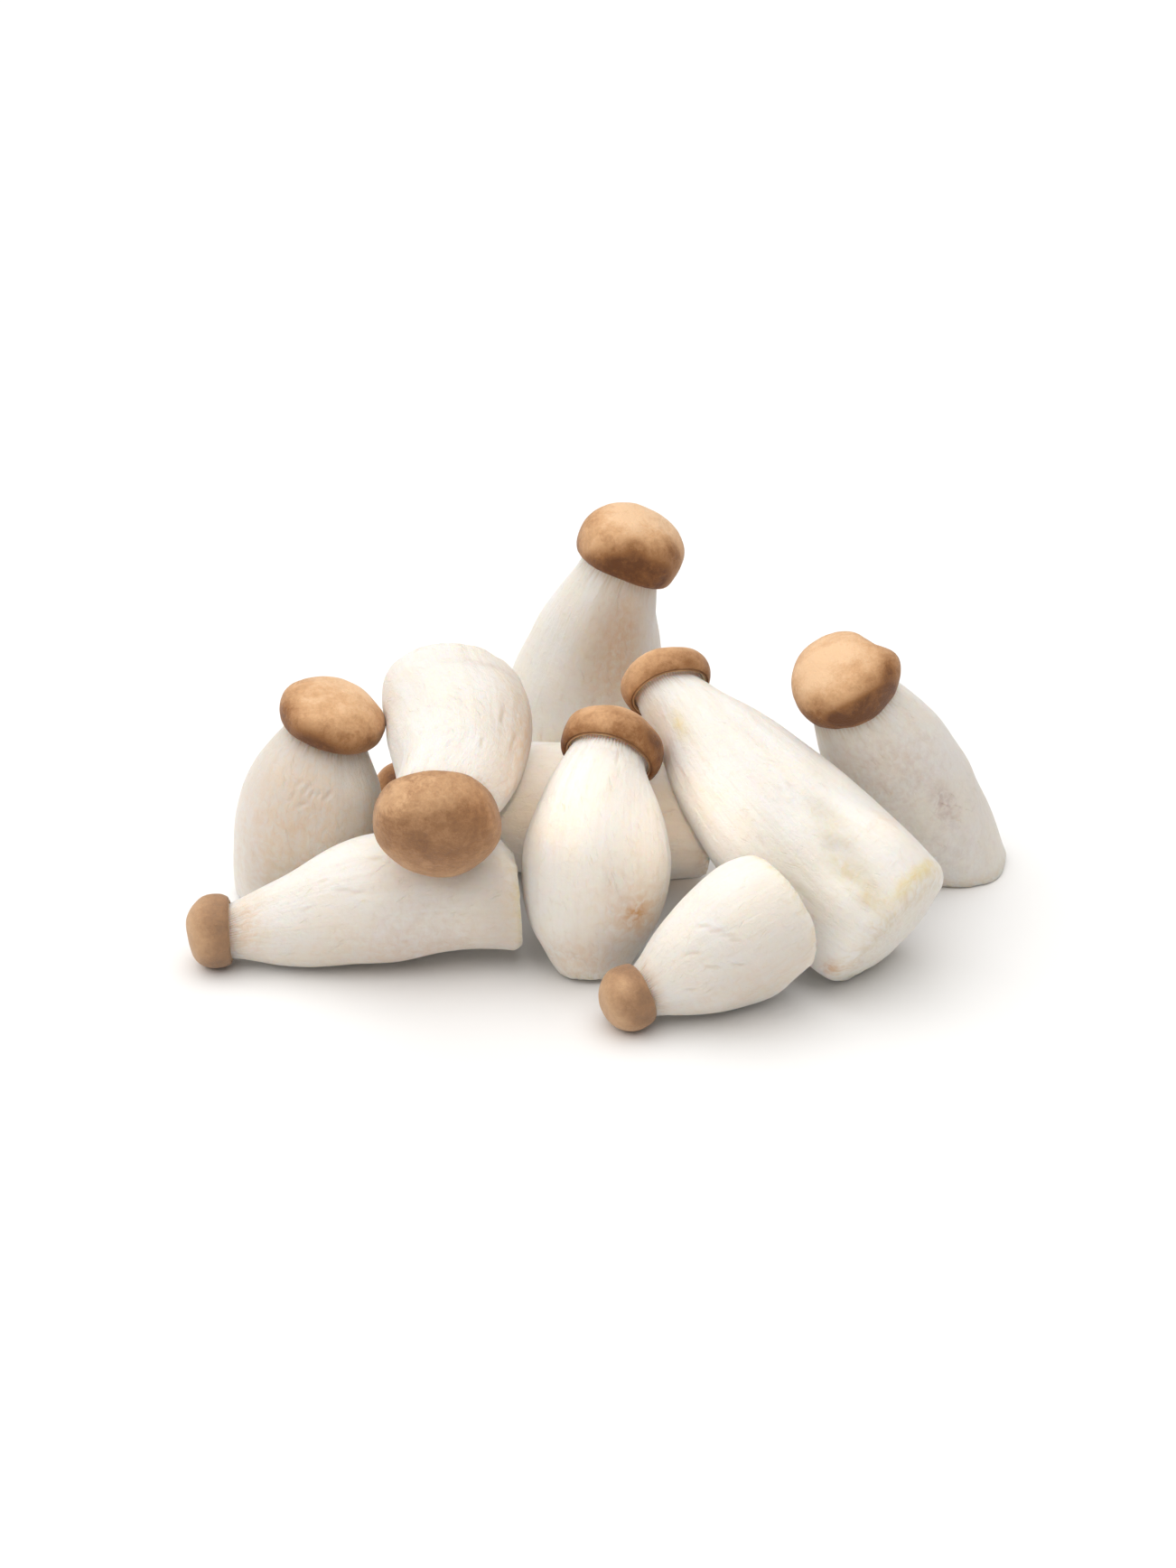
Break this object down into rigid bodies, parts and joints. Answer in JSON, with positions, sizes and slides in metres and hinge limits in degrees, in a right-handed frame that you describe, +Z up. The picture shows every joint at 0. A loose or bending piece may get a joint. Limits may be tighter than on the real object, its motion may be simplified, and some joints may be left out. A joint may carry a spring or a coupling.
{
  "type": "king oyster mushroom cluster",
  "caption": "Heap of whole king oyster mushrooms with fat pale stems, short gills and small brown caps, standing, leaning and lying together on a flat surface.",
  "frame": {"origin": "on the surface that the heap rests on, under the middle of its bounding box", "axes": "+X to the viewer's right, along the heap's longest extent; +Y away from the viewer; +Z up"},
  "size_m": [0.293, 0.2069, 0.1291],
  "materials": {
    "mushroom_flesh": "matte"
  },
  "bodies": {
    "root": {"left_standing": "mushroom_flesh", "left_lying": "mushroom_flesh", "crossing": "mushroom_flesh", "back_standing": "mushroom_flesh", "back_lying": "mushroom_flesh", "front_leaning": "mushroom_flesh", "front_lying": "mushroom_flesh", "right_leaning": "mushroom_flesh", "right_standing": "mushroom_flesh"}
  },
  "joints": []
}
